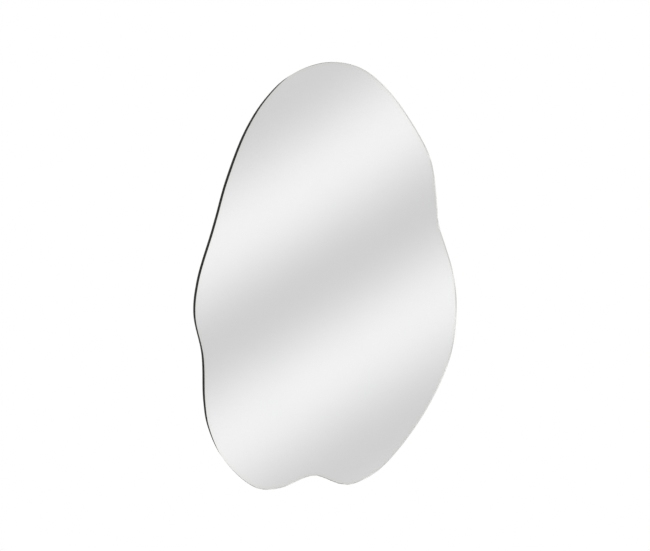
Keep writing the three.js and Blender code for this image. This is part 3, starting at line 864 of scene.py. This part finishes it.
# ----------------------------------------------------------------------------------------------------------
# Studio. White surroundings, soft grey stripes in front that only the glass and the metal reflect, and a
# dark card behind with a bright window in it. Two broad lamps stand in front and two behind, and a pale
# floor well below fades into the white.
# ----------------------------------------------------------------------------------------------------------

# Brightness is 1 at white. Each pair of edges is where the light begins and ends to change: by a direction's
# Y for the stripes and the card, by its Z for the low light, and by its cosine with the window's direction.
STRIPE_DIRECTION = (-0.428, -0.362, 0.828)
STRIPE_SPACING = 0.257
STRIPE_START = 0.089
STRIPE_DARK, STRIPE_BRIGHT = 0.684, 0.952
STRIPES_END, REAR_START = -0.4, 0.0
LOW_LIGHT = 0.45
LOW_LIGHT_EDGE, HIGH_LIGHT_EDGE = -0.5, 0.9
DARK_CARD = 0.07
CARD_EDGE, CARD_CORE = 0.84, 0.90
WINDOW_DIRECTION = (0.08, 0.987, -0.14)
WINDOW_BRIGHT = 1.5
WINDOW_EDGE, WINDOW_CORE = 0.972, 0.988
SURROUNDING_LIGHT = 0.72
LAMP_SIZE = 2.0
LAMPS = [
    ("front_left_lamp", (-2.4, -2.4, 2.0), 26.0), ("front_right_lamp", (2.4, -2.2, 0.6), 14.0),
    ("back_right_lamp", (2.0, 2.6, 1.8), 22.0), ("back_left_lamp", (-2.2, 2.4, 0.4), 12.0)]
FLOOR_HEIGHT = -1.5
FLOOR_RADIUS = 30.0
FLOOR_SIDES = 64
FLOOR_NEAR, FLOOR_FAR = 0.7, 1.4

studio = bpy.data.worlds.new("studio")
studio.use_nodes = True
sky = studio.node_tree
sky.nodes.clear()
ray = add_node(sky, "ShaderNodeLightPath")
direction = add_node(sky, "ShaderNodeTexCoord").outputs["Generated"]
height_on_stripes = add_node(sky, "ShaderNodeVectorMath", [
    ("Vector", direction), ("Vector", STRIPE_DIRECTION)], operation="DOT_PRODUCT").outputs["Value"]
from_stripe = add_node(sky, "ShaderNodeMath", [
    ("Value", height_on_stripes), ("Value", STRIPE_START)], operation="SUBTRACT")
turn = add_node(sky, "ShaderNodeMath", [
    ("Value", from_stripe), ("Value", 2 * math.pi / STRIPE_SPACING)], operation="MULTIPLY")
wave = add_node(sky, "ShaderNodeMath", [("Value", turn)], operation="COSINE")
stripes = add_node(sky, "ShaderNodeMapRange", [
    ("Value", wave), ("From Min", -1.0), ("To Min", STRIPE_BRIGHT), ("To Max", STRIPE_DARK)])
axes = add_node(sky, "ShaderNodeSeparateXYZ", [("Vector", direction)])
overhead = add_node(sky, "ShaderNodeMapRange", [
    ("Value", axes.outputs["Z"]), ("From Min", LOW_LIGHT_EDGE), ("From Max", HIGH_LIGHT_EDGE),
    ("To Min", LOW_LIGHT)])
card = add_node(sky, "ShaderNodeMapRange", [
    ("Value", axes.outputs["Y"]), ("From Min", CARD_EDGE), ("From Max", CARD_CORE),
    ("To Min", 1.0), ("To Max", DARK_CARD)])
towards_window = add_node(sky, "ShaderNodeVectorMath", [
    ("Vector", direction), ("Vector", WINDOW_DIRECTION)], operation="DOT_PRODUCT").outputs["Value"]
in_window = add_node(sky, "ShaderNodeMapRange", [
    ("Value", towards_window), ("From Min", WINDOW_EDGE), ("From Max", WINDOW_CORE)])
behind = add_node(sky, "ShaderNodeMix", [
    ("Factor", in_window), ("A", card), ("B", WINDOW_BRIGHT)], data_type="FLOAT")
rear = add_node(sky, "ShaderNodeMath", [("Value", overhead), ("Value", behind)], operation="MULTIPLY")
at_rear = add_node(sky, "ShaderNodeMapRange", [
    ("Value", axes.outputs["Y"]), ("From Min", STRIPES_END), ("From Max", REAR_START)])
around = add_node(sky, "ShaderNodeMix", [
    ("Factor", at_rear), ("A", stripes), ("B", rear)], data_type="FLOAT")
seen_by_gloss = add_node(sky, "ShaderNodeMath", [
    ("Value", ray.outputs["Is Glossy Ray"]), ("Value", ray.outputs["Is Transmission Ray"])],
    operation="MAXIMUM")
lit = add_node(sky, "ShaderNodeMix", [
    ("Factor", seen_by_gloss), ("A", SURROUNDING_LIGHT), ("B", around)], data_type="FLOAT")
shown = add_node(sky, "ShaderNodeMix", [
    ("Factor", ray.outputs["Is Camera Ray"]), ("A", lit), ("B", 1.0)], data_type="FLOAT")
background = add_node(sky, "ShaderNodeBackground", [("Color", shown), ("Strength", 1.0)])
add_node(sky, "ShaderNodeOutputWorld", [("Surface", background)])
bpy.context.scene.world = studio

for name, place, power in LAMPS:
    light = bpy.data.lights.new(name, "AREA")
    light.shape = "DISK"
    light.size = LAMP_SIZE
    light.energy = power
    lamp = bpy.data.objects.new(name, light)
    lamp.location = place
    lamp.rotation_euler = (-Vector(place)).to_track_quat("-Z", "Y").to_euler()
    lamp.visible_camera = lamp.visible_glossy = lamp.visible_transmission = False
    bpy.context.scene.collection.objects.link(lamp)


def pale_floor():
    """Matt white paper. Near the mirror it takes light and shade, and further off it is as white as the
    surroundings."""
    fibre_size = 4 * MM
    material, tree, place = new_finish("matt_white_paper")
    fibre = add_node(tree, "ShaderNodeTexNoise", [
        ("Vector", place), ("Scale", 1 / fibre_size), ("Detail", 3)])
    tone = add_node(tree, "ShaderNodeValToRGB", [("Fac", fibre)], [(0.3, "#F6F6F5"), (0.7, "#F9F9F8")])
    paper = add_node(tree, "ShaderNodeBsdfDiffuse", [("Color", tone.outputs["Color"])])
    axes = add_node(tree, "ShaderNodeSeparateXYZ", [("Vector", place)])
    level = add_node(tree, "ShaderNodeCombineXYZ", [("X", axes.outputs["X"]), ("Y", axes.outputs["Y"])])
    away = add_node(tree, "ShaderNodeVectorMath", [("Vector", level)], operation="LENGTH").outputs["Value"]
    far = add_node(tree, "ShaderNodeMapRange", [
        ("Value", away), ("From Min", FLOOR_NEAR), ("From Max", FLOOR_FAR)], interpolation_type="SMOOTHSTEP")
    in_view = add_node(tree, "ShaderNodeLightPath").outputs["Is Camera Ray"]
    seen = add_node(tree, "ShaderNodeMath", [("Value", far), ("Value", in_view)], operation="MULTIPLY")
    white = add_node(tree, "ShaderNodeEmission", [("Color", linear("#FFFFFF")), ("Strength", 1.0)])
    mixed = add_node(tree, "ShaderNodeMixShader", [("Fac", seen), ("Shader", paper), ("Shader", white)])
    add_node(tree, "ShaderNodeOutputMaterial", [("Surface", mixed)])
    return material


sheet = bmesh.new()
bmesh.ops.create_circle(sheet, cap_ends=True, segments=FLOOR_SIDES, radius=FLOOR_RADIUS)
floor = made("studio_floor", sheet)
for vertex in floor.data.vertices:
    vertex.co.z = FLOOR_HEIGHT
floor.data.materials.append(pale_floor())
floor.visible_glossy = floor.visible_transmission = False


# The camera stands 1.25 m in front of the glass and 0.55 m to the left of its middle. It is turned to the
# right and tipped a little down, in degrees.
CAMERA_PLACE = (-0.5469, -1.2776, 0.1434)
CAMERA_TURN = 22.58
CAMERA_TIP = 5.51
LENS = SENSOR_WIDTH = 36

camera = bpy.data.objects.new("camera", bpy.data.cameras.new("camera"))
camera.data.lens = LENS
camera.data.sensor_width = SENSOR_WIDTH
camera.location = CAMERA_PLACE
camera.rotation_euler = (math.radians(90 - CAMERA_TIP), 0, math.radians(-CAMERA_TURN))
bpy.context.scene.collection.objects.link(camera)
bpy.context.scene.camera = camera
bpy.context.scene.view_settings.view_transform = "Standard"
